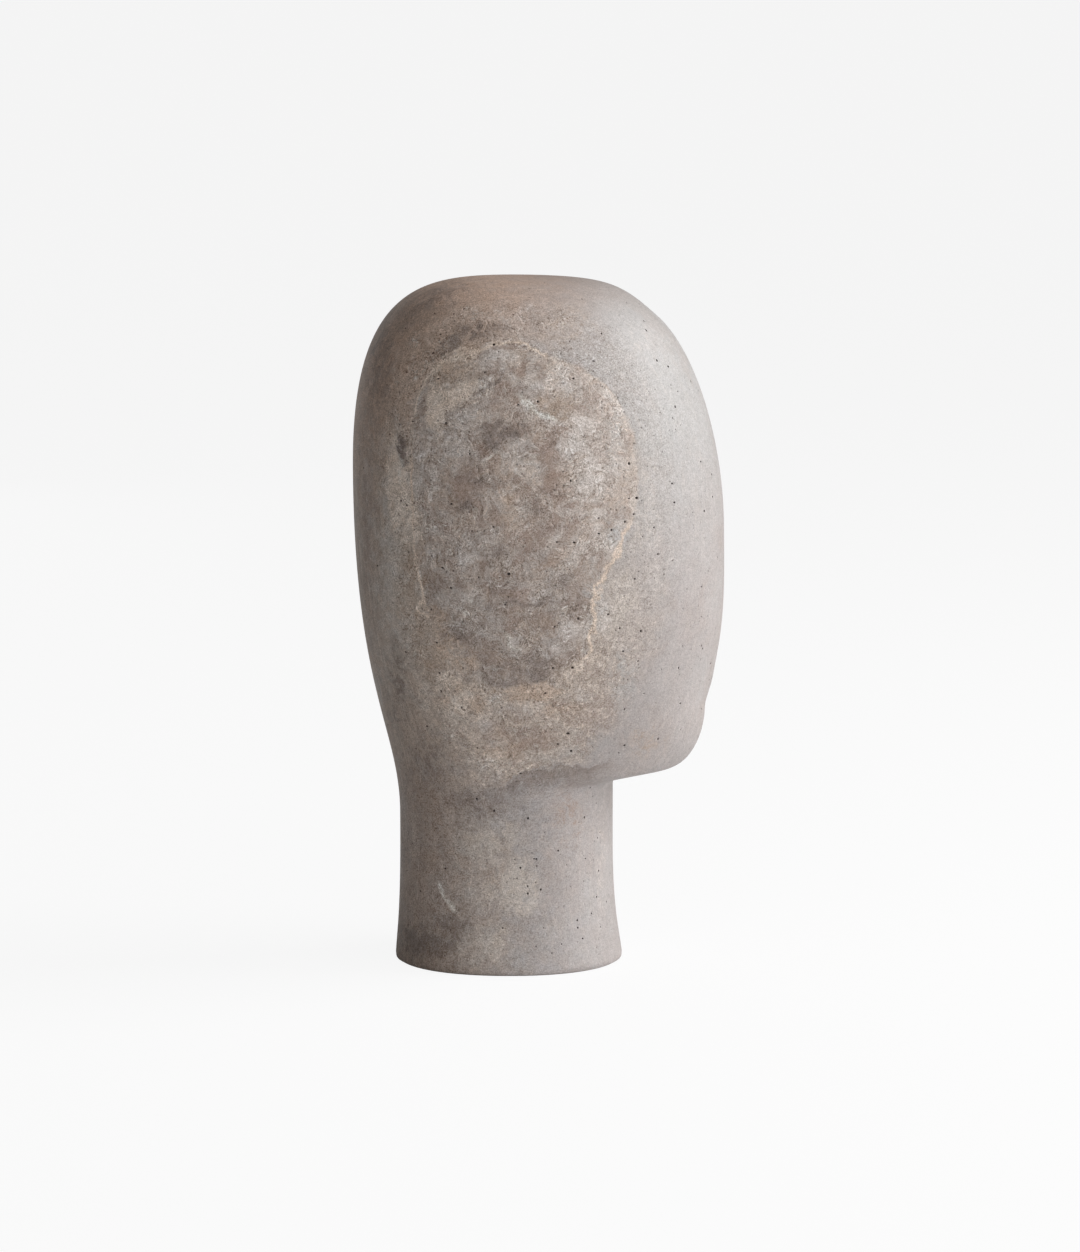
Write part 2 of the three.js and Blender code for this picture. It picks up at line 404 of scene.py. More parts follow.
class Skin:
    """The head's points and faces, each face's spots on the bake map, and how deep each point lies."""

    def __init__(self):
        self.points = []
        self.depths = []
        self.faces = []
        self.spots = []
        self.walls = []

    def point(self, place, depth=0.0):
        """Adds a point and returns its number. Depth is 0 at the skin and 1 at a pit's bottom."""
        self.points.append(place)
        self.depths.append(depth)
        return len(self.points) - 1

    def face(self, *corners, wall=False):
        """Adds a face. A corner is a point's number with its spot, and a wall is a face of a pit."""
        self.faces.append([number for number, _ in corners])
        self.spots += [spot for _, spot in corners]
        self.walls.append(wall)

    def pit(self, corners, radius, draw):
        """Fills a four-sided cell with skin round a pit."""
        places = [self.points[number] for number, _ in corners]
        spots = [spot for _, spot in corners]
        wide = (places[1] - places[0]).length
        tall = (places[3] - places[0]).length
        inwards = (places[3] - places[1]).cross(places[2] - places[0]).normalized()
        stretch = draw.uniform(*PIT_STRETCH)
        reach_s = min(PIT_REACH, radius * stretch / wide)
        reach_t = min(PIT_REACH, radius / stretch / tall)
        middle_s = 0.5 + (PIT_STRAY - reach_s) * draw.uniform(-1, 1)
        middle_t = 0.5 + (PIT_STRAY - reach_t) * draw.uniform(-1, 1)
        angles = [2 * math.pi * (side + 0.5) / PIT_SIDES for side in range(PIT_SIDES)]
        jitters = [draw.uniform(*PIT_RIM) for _ in angles]

        def corner(s, t, deep):
            place = across_cell(places, s, t) + inwards * deep * radius
            return self.point(place, min(1.0, deep)), across_cell(spots, s, t)

        def ring(share, deep):
            return [corner(middle_s + reach_s * share * jitter * math.cos(angle),
                           middle_t + reach_t * share * jitter * math.sin(angle), deep)
                    for angle, jitter in zip(angles, jitters)]

        rim = ring(1.0, 0.0)
        for side in range(4):
            first, second = corners[(side + 1) % 4], corners[(side + 2) % 4]
            self.face(first, second, rim[2 * side], rim[2 * side - 1])
            self.face(second, rim[2 * side + 1], rim[2 * side])
        if radius > DEEP_PIT:
            ledge = ring(LEDGE_WIDTH, LEDGE_DEPTH)
            for side in range(PIT_SIDES):
                after = (side + 1) % PIT_SIDES
                self.face(rim[side], rim[after], ledge[after], ledge[side], wall=True)
            rim = ledge
        bottom = corner(middle_s, middle_t, PIT_DEPTH)
        for side in range(PIT_SIDES):
            self.face(rim[side], rim[(side + 1) % PIT_SIDES], bottom, wall=True)


def across_cell(corners, s, t):
    """The place in a four-sided cell at the shares s and t of its two ways."""
    low = corners[0].lerp(corners[1], s)
    high = corners[3].lerp(corners[2], s)
    return low.lerp(high, t)


def scattered_pits(settings, cells, used):
    """Draws the cells that get a pit, with its radius. Pits crowd together and are mostly small."""
    pits = settings.pits
    draw = random.Random(pits.seed)
    chosen = {}
    for _ in range(pits.count):
        row, column = draw.choice(cells)
        place = used[row, column]
        crowd = noise.noise(place / CROWD_SPACING + CROWD_START)
        busy = PLAIN_CHANCE + CROWD_CHANCE * smooth(crowd, 0.0, 0.5)
        busy += SIDE_CHANCE * smooth(-place.y, *SIDE_RISE)
        size_share = draw.random() ** SMALL_PIT_POWER
        if draw.random() < busy:
            chosen[row, column] = pits.smallest + (pits.largest - pits.smallest) * size_share
    return chosen


def named_pits(used):
    """The cells of the pits that are told apart on the near side."""
    near = [(key, place) for key, place in used.items() if place.y < 0]
    chosen = {}
    for x, z, radius in NEAR_PITS:
        key = min(near, key=lambda item: (item[1].x - x * MM) ** 2 + (item[1].z - z * MM) ** 2)[0]
        chosen[key] = radius * MM
    return chosen


def build_skin(settings):
    """The head as rings of points with pits between them, closed at the crown and flat below."""
    form = HeadForm(settings.sizes)
    places = level_places(form.front, settings.sizes.step)
    around = settings.sizes.around
    rows = len(places)
    skin = Skin()
    for height, _ in places:
        section = form.section(height)
        for n in range(around):
            skin.point(form.point(section, height, math.pi + 2 * math.pi * n / around))

    def spot(row, column):
        way = places[row][1] if row < rows else 1.0
        return Vector((column / around, SIDE_MAP_LOW + (1 - SIDE_MAP_LOW) * way))

    def corner(row, column):
        return row * around + column % around, spot(row, column)

    pitted_rows = range(FOOT_ROWS, rows - CROWN_ROWS)
    cells = [(row, column) for row in pitted_rows for column in range(around)]
    used = {(row, column): skin.points[row * around + column] for row, column in cells}
    pits = scattered_pits(settings, cells, used)
    pits.update(named_pits(used))
    draw = random.Random(settings.pits.seed + 1)
    for row in range(rows - 1):
        for column in range(around):
            corners = (corner(row, column), corner(row, column + 1),
                       corner(row + 1, column + 1), corner(row + 1, column))
            if (row, column) in pits:
                skin.pit(corners, pits[row, column], draw)
            else:
                skin.face(*corners)

    bottom = skin.point(Vector((0, 0, 0)))
    top = skin.point(Vector((CROWN_X, 0, HEIGHT)))
    for n in range(around):
        under = (bottom, (n + 1) % around, n)
        skin.face(*[(number, under_spot(skin.points[number])) for number in under])
        skin.face(corner(rows - 1, n), corner(rows - 1, n + 1), (top, spot(rows, n + 0.5)))
    return skin


def under_spot(place):
    """Where a point of the underside lies on the bake map."""
    middle = SIDE_MAP_LOW / 2
    return Vector((middle + place.x * UNDER_MAP_SCALE, middle + place.y * UNDER_MAP_SCALE))


def mesh_object(name, points, faces):
    """A new smooth-shaded object in the scene."""
    mesh = bpy.data.meshes.new(name)
    mesh.from_pydata([tuple(point) for point in points], [], faces)
    mesh.validate()
    mesh.shade_smooth()
    item = bpy.data.objects.new(name, mesh)
    bpy.context.scene.collection.objects.link(item)
    return item


def carve(skin):
    """The skin as an object, with flat pit walls, the pits' depth and a map for baking."""
    stone = mesh_object("carved_stone_head", skin.points, skin.faces)
    mesh = stone.data
    mesh.polygons.foreach_set("use_smooth", [not wall for wall in skin.walls])
    depth = mesh.attributes.new("pit_depth", "FLOAT", "POINT")
    depth.data.foreach_set("value", skin.depths)
    bake_map = mesh.uv_layers.new(name="OFBake")
    bake_map.data.foreach_set("uv", [number for spot in skin.spots for number in spot])
    return stone


def new_material(name):
    """An empty material with its shader and output joined."""
    material = bpy.data.materials.new(name)
    material.use_nodes = True
    tree = material.node_tree
    tree.nodes.clear()
    shader = tree.nodes.new("ShaderNodeBsdfPrincipled")
    output = tree.nodes.new("ShaderNodeOutputMaterial")
    tree.links.new(shader.outputs["BSDF"], output.inputs["Surface"])
    return material, tree, shader


class Graph:
    """Short ways to add and join shader nodes in one tree."""

    def __init__(self, tree):
        self.tree = tree

    def feed(self, socket, value):
        """Joins an output to a socket, or sets the socket's own value."""
        if isinstance(value, bpy.types.NodeSocket):
            self.tree.links.new(value, socket)
        else:
            socket.default_value = value

    def add(self, kind, inputs, **options):
        """Adds a node with its options and its inputs by name or number."""
        node = self.tree.nodes.new("ShaderNode" + kind)
        for option, value in options.items():
            setattr(node, option, value)
        for socket, value in inputs.items():
            self.feed(node.inputs[socket], value)
        return node

    def maths(self, operation, first, second=0.0, third=0.0):
        """One step of arithmetic."""
        return self.add("Math", {0: first, 1: second, 2: third}, operation=operation).outputs[0]

    def times(self, first, second):
        """Two values multiplied. A mask times a share is a weaker mask."""
        return self.maths("MULTIPLY", first, second)

    def fitted(self, value, scale, shift):
        """A value times a scale, and then shifted."""
        return self.maths("MULTIPLY_ADD", value, scale, shift)

    def vector(self, operation, first, second):
        """One step of arithmetic on vectors."""
        return self.add("VectorMath", {0: first, 1: second}, operation=operation).outputs[0]

    def clouds(self, place, period, detail=4.0, roughness=0.55, distortion=0.0):
        """Soft noise whose blots are about two periods apart. Gives a value near 0.5."""
        return self.add("TexNoise", {
            "Vector": place, "Scale": 1 / period, "Detail": detail, "Roughness": roughness,
            "Distortion": distortion}).outputs["Fac"]

    def drift(self, place, period, reach, detail=3.0):
        """The place moved by soft noise, at most about half of reach each way."""
        noise_node = self.add("TexNoise", {"Vector": place, "Scale": 1 / period, "Detail": detail})
        centred = self.vector("SUBTRACT", noise_node.outputs["Color"], (0.5, 0.5, 0.5))
        moved = self.add("VectorMath", {0: centred, 1: reach, 2: place}, operation="MULTIPLY_ADD")
        return moved.outputs[0]

    def step(self, value, low, high):
        """0 below low, 1 above high, or the other way round if high is the smaller."""
        return self.add("MapRange", {"Value": value, "From Min": low, "From Max": high},
                        interpolation_type="SMOOTHSTEP").outputs["Result"]

    def band(self, value, middle, half):
        """1 at middle, fading to 0 at half to each side."""
        away = self.maths("ABSOLUTE", self.maths("SUBTRACT", value, middle))
        return self.step(away, half, 0.0)

    def mix(self, factor, first, second, blend="MIX"):
        """Mixes two colours, which are the node's sockets 6 and 7, into its colour output, 2."""
        node = self.add("Mix", {0: factor, 6: first, 7: second}, data_type="RGBA")
        node.blend_type = blend
        return node.outputs[2]


# Stains on the near side, by the name of their colour, each group laid over the ones before it. A
# stain has x and z of its middle, half width and half height, all in millimetres, a lean in degrees
# and a strength. The lean turns it anticlockwise, as seen from the near side.
STAINS = {
    "fawn": (
        (-12, 72, 14, 11, 35, 0.6), (3, 50, 8, 11, 0, 1.15), (-11, 46, 10, 10, 0, 0.45),
        (-16, 18, 14, 9, 0, 0.65), (-30, 147, 14, 12, 0, 0.3), (20, 125, 20, 8, 0, 0.3),
        (-61, 225, 8, 50, 0, 0.85), (68, 262, 8, 34, 0, 0.3), (60, 208, 8, 20, 0, 0.5)),
    "pale": (
        (-76, 245, 8, 75, 0, 0.3), (-13, 335, 5, 3.5, 0, 0.5), (-5, 341, 8, 3, 0, 0.6),
        (36, 299, 11, 9, 0, 0.8), (44, 275, 9, 14, 0, 0.65), (14, 327, 9, 4, 0, 0.45),
        (-24, 292, 3.5, 7, 35, 0.6), (-46, 275, 7.5, 16.5, 0, 0.4), (-41, 277, 5, 7, 0, 0.5),
        (-23, 233, 6, 8, 0, 0.5), (-21, 214, 4.5, 5, 0, 0.45), (34, 192, 6, 4.5, 0, 0.65),
        (25, 185, 4, 2, 35, 0.45), (51, 201, 4, 11, 0, 0.5), (35, 261, 8, 3, 0, 0.45),
        (8, 150, 10, 4, 0, 0.5), (-14, 139, 9, 5, 0, 0.35), (47, 253, 3.5, 7, 0, 0.6),
        (38, 157, 5, 4, 0, 0.4), (68, 345, 7, 12, -35, 0.2), (78, 245, 4, 28, 0, 0.3),
        (50, 61, 4, 33, 0, 0.25)),
    "brown": (
        (4, 334, 6, 3, 0, 0.6), (-5, 326, 5, 4.5, 0, 0.5), (37, 333, 6, 5, 0, 0.35),
        (24, 296, 4, 9, -35, 0.9), (-6, 314, 8, 5, 0, 0.5), (-13, 290, 4, 6, 35, 0.5),
        (-22, 272, 5.5, 11, 0, 1.1), (25, 273, 6, 8, 0, 0.55), (32, 261, 4.5, 2.5, 35, 0.5),
        (30, 250, 7.5, 4, 0, 0.8), (8, 246, 9, 6, 0, 0.5), (7, 235, 9, 3, 35, 0.6),
        (5, 214, 6.5, 6.5, 0, 0.5), (1, 197, 4, 7, 0, 0.5), (4, 132, 19, 8, 0, 0.5),
        (-38, 373, 25, 6.5, 35, 0.5), (-71, 336, 7, 28, 0, 0.55), (-77, 240, 4.5, 60, 0, 0.4),
        (33, 88, 8, 17, 0, 0.35)),
    "dark": (
        (-30, 348, 11, 3.5, 35, 0.75), (-17, 355, 11, 3.5, 0, 0.65), (-5, 237, 5, 4, 0, 0.45),
        (-3, 303, 9.5, 4, 0, 0.75), (-13, 324, 15, 0.9, 35, 0.8), (-9, 296, 3.5, 5, 35, 0.75),
        (-17, 281, 4, 8, 0, 0.45), (14, 260, 4, 6, 0, 0.35), (-25, 262, 6, 4, 0, 0.5),
        (30, 221, 9, 6, 0, 0.35), (11, 169, 16, 9, 0, 0.55), (16, 163, 10, 3, 0, 0.8),
        (-6, 165, 6.5, 4, 0, 0.55), (-20, 171, 5, 5, 0, 0.45), (-24, 189, 6, 3, 0, 0.8),
        (11, 209, 16, 0.9, 0, 0.55), (-38, 220, 8, 8, 0, 0.22), (-45, 118, 14, 16, 0, 0.4),
        (-21, 94, 14, 8, 0, 0.45), (-30, 26, 8, 7, 0, 0.9), (-46, 16, 12, 6, 0, 0.95),
        (-61, 158, 6, 24, 0, 0.5)),
    "ochre": (
        (24, 316, 6.5, 5, -35, 1.1), (-53, 220, 6, 28, 0, 0.6), (-41, 181, 9, 18, 0, 0.6),
        (-28, 333, 14, 8, 35, 0.5), (31, 358, 12, 8, 0, 0.35), (74, 128, 10, 9, 0, 0.35)),
    "ash": (
        (57, 300, 6, 22, 0, 0.3), (58, 245, 6, 13, 0, 0.35), (46, 213, 6, 16, 0, 0.4),
        (40, 128, 14, 14, 0, 0.18), (62, 168, 8, 16, 0, 0.35)),
    "tan": (
        (-2, 268, 6, 4, 0, 0.5), (1, 254, 6, 6, 0, 0.4), (-30, 180, 10, 5.5, -35, 0.7),
        (-30, 158, 9, 7, 0, 0.4), (-17, 152, 6, 3.5, 0, 0.8), (11, 159.5, 12, 2.8, 0, 1.3),
        (27, 149, 8, 4, 0, 0.5), (-39, 201, 5, 6, 0, 0.4), (-30, 337, 12, 4.5, 35, 0.7),
        (-3, 127, 13, 6.5, 0, 0.35), (-11, 55, 8, 8, 0, 0.3)),
    "cream": (
        (-60, 272, 4, 17, 0, 1.7), (-55, 252, 5, 13, 0, 0.6), (-39, 313, 4, 10, 0, 1.4),
        (-28, 321, 8.5, 4, 35, 1.0), (-33, 165, 6, 6, 0, 0.5), (-25, 154, 4, 6, 0, 0.7),
        (35, 171, 10, 3, 35, 0.6), (-15, 145, 5, 3, 0, 0.6), (-53, 72, 2, 14, 0, 0.25)),
    "white": (
        (15, 314, 7.5, 1.4, -35, 1.2), (1, 187, 1.6, 5, 35, 0.6), (-11, 288, 5, 0.8, 35, 0.4),
        (-36, 43, 1.5, 7.5, 35, 0.7), (-59, 282, 1.2, 9, 0, 0.5)),
    "soot": ((-58, 291.5, 2.6, 6, 0, 0.8),),
}

# The thin vein's half width in millimetres, and where it is strongest, in the form of the stains.
VEIN_HALF_WIDTH = 0.64
VEIN_STRETCHES = (
    (-51, 245, 5, 28, 0, 1.0), (-48, 214, 4.5, 11, 0, 1.0), (-46, 325, 4, 12, -35, 1.0),
    (-27, 342, 14, 4, 0, 1.0), (10, 347, 18, 4, 0, 0.8), (56, 231, 5, 18, -35, 1.0),
    (45, 198, 5, 18, 0, 1.0), (45, 325, 14, 8, -35, 0.2))

# Where the vein frays into strands, in the same form, how far they reach from it, and how fast strand
# and gap take turns, in radians a millimetre.
FRAYED_VEIN = (-27, 343, 14, 6, 0, 1.0)
STRANDS_REACH = 3.0
STRANDS_TURN = 5.0

# The beds that bound the core on the near and the far side: millimetres from the mirror plane at the
# axis and the underside, and how that changes with x and z.
NEAR_BED = (77.2, 0.048, -0.0456)
FAR_BED = (62.0, -0.05, 0.03)

# Waves of the beds: x, z, half width, half height, and how far the vein's bed bulges outwards.
BED_WAVES = (
    (-47, 302, 11, 29, 1.8), (-22, 335, 15, 21, 5.0), (18, 334, 24, 34, 3.4), (73, 293, 7, 34, -3.1),
    (43, 219, 24, 25, 4.1), (23, 178, 11, 8, 2.9), (-15, 168, 20, 17, 1.6), (-52, 203, 5, 6, -3.0),
    (-55, 240, 7, 7, -0.9), (67, 318, 17, 15, -1.7))

# The middle of the core's rings and their reach, as x and z.
RINGS_MIDDLE = (5, 262)
RINGS_REACH = (60, 75)

# How much each size of grain and the winding lines change the shade.
FINE_GRAIN = 2.05
MIDDLE_GRAIN = 1.05
COARSE_GRAIN = 0.45
WINDING_GRAIN = 0.38

# The line on the neck where the even stone begins, with the painted shade under the jaw just below it:
# its height on the axis, its climb towards the face, and the height where it stops climbing.
COLLAR_HEIGHT = 108.5
COLLAR_CLIMB = 0.5
COLLAR_TOP = 118.0

# The leans that a stain may have, level first.
LEANS = (0, 35, -35)


def leaning_places(graph, place):
    """The place seen in a level frame and in two frames turned about the Y axis."""
    turned = {0: place}
    for lean in LEANS[1:]:
        turned[lean] = graph.add("VectorRotate", {
            "Vector": place, "Angle": math.radians(lean)}, rotation_type="Y_AXIS").outputs[0]
    return turned


def how_far(graph, place, middle, reach):
    """The distance from a middle in the XZ plane, 1 on the ellipse of the given reach."""
    scaled = graph.add("VectorMath", {
        0: place, 1: (1 / reach[0], 0, 1 / reach[1]),
        2: (-middle[0] / reach[0], 0, -middle[1] / reach[1])}, operation="MULTIPLY_ADD").outputs[0]
    return graph.add("VectorMath", {0: scaled}, operation="LENGTH").outputs["Value"]


def stain_cover(graph, turned, stains):
    """How strongly the stains cover a place. Each is full at its middle and gone at twice its half
    size, and where two meet the stronger counts."""
    total = 0.0
    for x, z, half_x, half_z, lean, strength in stains:
        angle = math.radians(lean)
        middle_x = x * math.cos(angle) + z * math.sin(angle)
        middle_z = z * math.cos(angle) - x * math.sin(angle)
        away = how_far(graph, turned[lean], (middle_x, middle_z), (2 * half_x, 2 * half_z))
        cover = graph.fitted(away, -strength, strength)
        total = graph.maths("MAXIMUM", total, cover)
    return total


def bed_bulge(graph, place):
    """How far the waves of the beds lift the vein's bed outwards at a place."""
    bulge = 0.0
    for x, z, half_x, half_z, rise in BED_WAVES:
        cover = stain_cover(graph, {0: place}, ((x, z, half_x, half_z, 0, 1.0),))
        bulge = graph.fitted(graph.step(cover, 0.0, 1.0), rise, bulge)
    return bulge


def bed_at(graph, x, z, bed):
    """How far from the mirror plane a bed lies at a place."""
    start, climb_x, climb_z = bed
    return graph.fitted(x, climb_x, graph.fitted(z, climb_z, start))


class Stone(Graph):
    """The stone's graph, with its tints and where a point lies, in millimetres. Bent is its place
    moved with the gentle folds of the beds, and curled with tight ones. Near is 1 on the near side.
    Depth is 0 on the bed that bounds the core, and above 0 in the core, which lies outermost."""

    def __init__(self, tree, colours):
        super().__init__(tree)
        self.tints = {name: (*getattr(colours, name), 1) for name in StoneColours.__annotations__}
        raw = tree.nodes.new("ShaderNodeTexCoord").outputs["Object"]
        self.place = self.vector("MULTIPLY", raw, (1 / MM, 1 / MM, 1 / MM))
        bent = self.drift(self.place, 55, (10, 5, 10))
        self.bent = self.drift(bent, 12, (4, 1.8, 4))
        folded = self.drift(self.place, 24, (30, 10, 30), 2.0)
        self.curled = self.drift(folded, 6.5, (8, 5, 8), 2.0)
        x, y, z = self.add("SeparateXYZ", {0: self.bent}).outputs
        self.x, self.z = x, z
        self.near = self.step(y, 10.0, -25.0)
        near_bed = bed_at(self, x, z, NEAR_BED)
        near_bed = self.maths("ADD", near_bed, bed_bulge(self, self.place))
        near_depth = self.maths("SUBTRACT", self.times(y, -1.0), near_bed)
        far_depth = self.maths("SUBTRACT", y, bed_at(self, x, z, FAR_BED))
        self.depth = self.maths("MAXIMUM", near_depth, far_depth)

    def laid(self, mask, surface, tint):
        """Lays a tint over a surface where the mask is 1."""
        return self.mix(mask, surface, self.tints[tint])

    def toned(self, surface, value, middle, reach, share, tint):
        """Lays a tint where a value passes from its middle over a reach, which may be downwards."""
        mask = self.times(self.step(value, middle, middle + reach), share)
        return self.laid(mask, surface, tint)


def deep_stone(stone):
    """The even stone of the face, the back, the crown and the neck, with its thin beds edge on."""
    x, _, z = stone.add("SeparateXYZ", {0: stone.place}).outputs
    face = stone.step(x, -65.0, 30.0)
    base = stone.laid(face, stone.tints["umber"], "mauve")
    forehead = stone.times(stone.step(x, 20.0, 90.0), stone.step(z, 220.0, 310.0))
    base = stone.laid(forehead, base, "ash")
    soft = stone.clouds(stone.curled, 30, 4.0, 0.6)
    base = stone.toned(base, soft, 0.5, 0.14, 0.35, "ash")
    base = stone.toned(base, soft, 0.5, -0.14, 0.16, "brown")
    thin = stone.vector("MULTIPLY", stone.bent, (0.10, 1.6, 0.06))
    streaks = stone.clouds(thin, 2.2, 5.0, 0.8)
    away = stone.fitted(face, -0.5, 0.62)
    base = stone.toned(base, streaks, 0.5, 0.16, away, "cream")
    base = stone.toned(base, streaks, 0.5, -0.16, away, "brown")
    base = stone.toned(base, stone.fitted(x, -0.9, z), 300.0, 105.0, 0.8, "rust")
    nape = stone.times(stone.step(x, -18.0, -42.0), stone.step(z, 135.0, 100.0))
    return stone.laid(stone.times(nape, 0.55), base, "brown")


def collared(stone, surface):
    """The even stone of the neck begins below the jaw along a wavy line. A dark band, darkest at the
    line, is painted shade under the jaw. The change and the painted shade fade towards the throat and the
    nape."""
    x, _, z = stone.add("SeparateXYZ", {0: stone.place}).outputs
    wave = stone.fitted(stone.clouds(stone.bent, 12, 4.0, 0.6), 22.0, -11.0)
    line = stone.maths("MINIMUM", stone.fitted(x, COLLAR_CLIMB, COLLAR_HEIGHT), COLLAR_TOP)
    below = stone.maths("SUBTRACT", stone.maths("ADD", line, wave), z)
    neck = stone.times(stone.step(below, -0.8, 0.8), stone.step(below, 45.0, 15.0))
    inside = stone.times(stone.step(x, -28.0, 8.0), stone.step(x, 64.0, 44.0))
    neck = stone.times(neck, inside)
    surface = stone.laid(stone.times(neck, 0.9), surface, "mauve")
    # Painted shade under the jaw: dark just below the line, fading downwards.
    rim = stone.times(stone.step(below, -0.5, 1.5), stone.step(below, 18.0, 2.0))
    rim = stone.times(rim, inside)
    return stone.laid(stone.times(rim, 0.8), surface, "dark")


def warm_stone(stone):
    """The speckled beige layer round the vein."""
    mottle = stone.clouds(stone.curled, 14, 4.0, 0.55)
    base = stone.toned(stone.tints["beige"], mottle, 0.5, 0.1, 0.42, "cream")
    base = stone.toned(base, mottle, 0.5, -0.1, 0.45, "brown")
    specks = stone.clouds(stone.bent, 2.4, 3.0, 0.7)
    base = stone.toned(base, specks, 0.53, 0.06, 0.6, "cream")
    return stone.toned(base, specks, 0.46, -0.06, 0.72, "brown")


def core_stone(stone):
    """The clouded layer inside the vein. Its beds turn round a middle, with sharp pale, brown and tan
    patches and thin cream outlines, and it darkens downwards."""
    swirl = stone.clouds(stone.curled, 17, 5.0, 0.6)
    base = stone.toned(stone.tints["core"], swirl, 0.5, 0.055, 0.5, "pale")
    base = stone.toned(base, swirl, 0.5, -0.055, 0.42, "brown")
    away = how_far(stone, stone.bent, RINGS_MIDDLE, RINGS_REACH)
    level = stone.add("CombineXYZ", {
        0: stone.times(away, 7.0), 1: stone.times(stone.depth, 0.3),
        2: stone.times(stone.x, 0.02)}).outputs[0]
    arcs = stone.clouds(level, 1.0, 4.0, 0.65, 0.6)
    base = stone.toned(base, arcs, 0.53, 0.04, 0.4, "brown")
    base = stone.toned(base, arcs, 0.47, -0.04, 0.35, "pale")
    smudge = stone.clouds(stone.bent, 21, 5.0, 0.65)
    base = stone.toned(base, smudge, 0.5, -0.14, 0.27, "dark")
    sharp = stone.clouds(stone.curled, 10, 3.0, 0.55, 0.8)
    base = stone.toned(base, sharp, 0.55, 0.02, 0.38, "pale")
    base = stone.toned(base, sharp, 0.445, -0.02, 0.38, "brown")
    mineral = stone.clouds(stone.vector("ADD", stone.curled, (0, 30, 0)), 12, 3.0, 0.6, 0.8)
    base = stone.toned(base, mineral, 0.55, 0.03, 0.32, "tan")
    edges = stone.maths("MAXIMUM", stone.band(sharp, 0.56, 0.008), stone.band(swirl, 0.54, 0.007))
    base = stone.laid(stone.times(edges, 0.7), base, "cream")
    return stone.toned(base, stone.z, 260.0, -60.0, 0.34, "dark")


def winding_lines(stone):
    """Thin winding lines, each a light one beside a dark one, from -1 to 1, strong in patches."""
    folds = stone.times(stone.clouds(stone.curled, 9, 1.4, 0.5), 30.0)
    pair = []
    for offset in (0.0, 0.8):
        wave = stone.maths("ABSOLUTE", stone.maths("SINE", stone.maths("ADD", folds, offset)))
        pair.append(stone.maths("POWER", stone.maths("SUBTRACT", 1.0, wave), 2.0))
    where = stone.step(stone.clouds(stone.bent, 13, 3.0, 0.7), 0.43, 0.58)
    return stone.times(stone.maths("SUBTRACT", *pair), where)


def curls(stone, surface):
    """Single white lines that wind in some patches, and small rings in others."""
    line = stone.band(stone.clouds(stone.curled, 6, 2.0, 0.5, 1.2), 0.5, 0.022)
    where = stone.step(stone.clouds(stone.place, 13, 3.0, 0.7), 0.48, 0.58)
    surface = stone.laid(stone.times(stone.times(line, where), 0.8), surface, "white")
    cells = stone.add("TexVoronoi", {"Vector": stone.curled, "Scale": 1 / 6.5}, feature="F1")
    rings = stone.band(cells.outputs["Distance"], 0.36, 0.07)
    there = stone.step(stone.clouds(stone.place, 16, 3.0, 0.7), 0.5, 0.42)
    return stone.laid(stone.times(stone.times(rings, there), 0.55), surface, "pale")


def stained(stone, surface):
    """Lays the named stains of the near side over the layers, with ragged edges."""
    wide = stone.drift(stone.place, 11, (11, 11, 11), 4.0)
    turned = leaning_places(stone, wide)
    grainy = stone.fitted(stone.clouds(stone.bent, 1.8, 3.0, 0.8), 2.6, -0.3)
    for number, (name, stains) in enumerate(STAINS.items()):
        shifted = stone.vector("ADD", stone.curled, (0, 40.0 * number, 0))
        ragged = stone.step(stone.clouds(shifted, 7, 5.0, 0.62), 0.4, 0.6)
        edge = stone.times(stone.fitted(ragged, 0.8, 0.55), grainy)
        total = stone.times(stain_cover(stone, turned, stains), edge)
        mask = stone.times(stone.step(total, 0.04, 0.6), stone.times(stone.near, 0.9))
        surface = stone.laid(mask, surface, name)
    return surface


def veined(stone, surface):
    """Draws the thin vein round the core, strong in some stretches and frayed into strands in one."""
    wander = stone.fitted(stone.clouds(stone.bent, 5, 2.4, 0.5), 2.0, -1.0)
    depth = stone.maths("ADD", stone.depth, wander)
    strong = stain_cover(stone, leaning_places(stone, stone.place), VEIN_STRETCHES)
    strong = stone.fitted(stone.step(strong, 0.05, 0.4), 0.82, 0.18)
    patchy = stone.step(stone.clouds(stone.bent, 5, 3.0, 0.7), 0.28, 0.4)
    thin = stone.times(stone.band(depth, 0.0, VEIN_HALF_WIDTH), strong)
    thin = stone.times(thin, patchy)
    frayed = stain_cover(stone, {0: stone.place}, (FRAYED_VEIN,))
    lines = stone.step(stone.maths("SINE", stone.times(depth, STRANDS_TURN)), 0.0, 0.9)
    strands = stone.times(lines, stone.step(frayed, 0.2, 1.1))
    strands = stone.times(strands, stone.band(depth, 0.0, STRANDS_REACH))
    cover = stone.maths("MAXIMUM", thin, strands)
    return stone.laid(cover, surface, "vein")


def small_pores(stone, place, period, share):
    """Small round pores, one in some of the cells of a cell pattern."""
    cells = stone.add("TexVoronoi", {"Vector": place, "Scale": 1 / period}, feature="F1")
    parts = stone.add("SeparateColor", {0: cells.outputs["Color"]})
    radius = stone.fitted(parts.outputs[0], 0.16, 0.05)
    there = stone.step(parts.outputs[1], 1 - share, 1 - share + 0.02)
    hole = stone.step(cells.outputs["Distance"], radius, stone.times(radius, 0.4))
    return stone.times(hole, there)


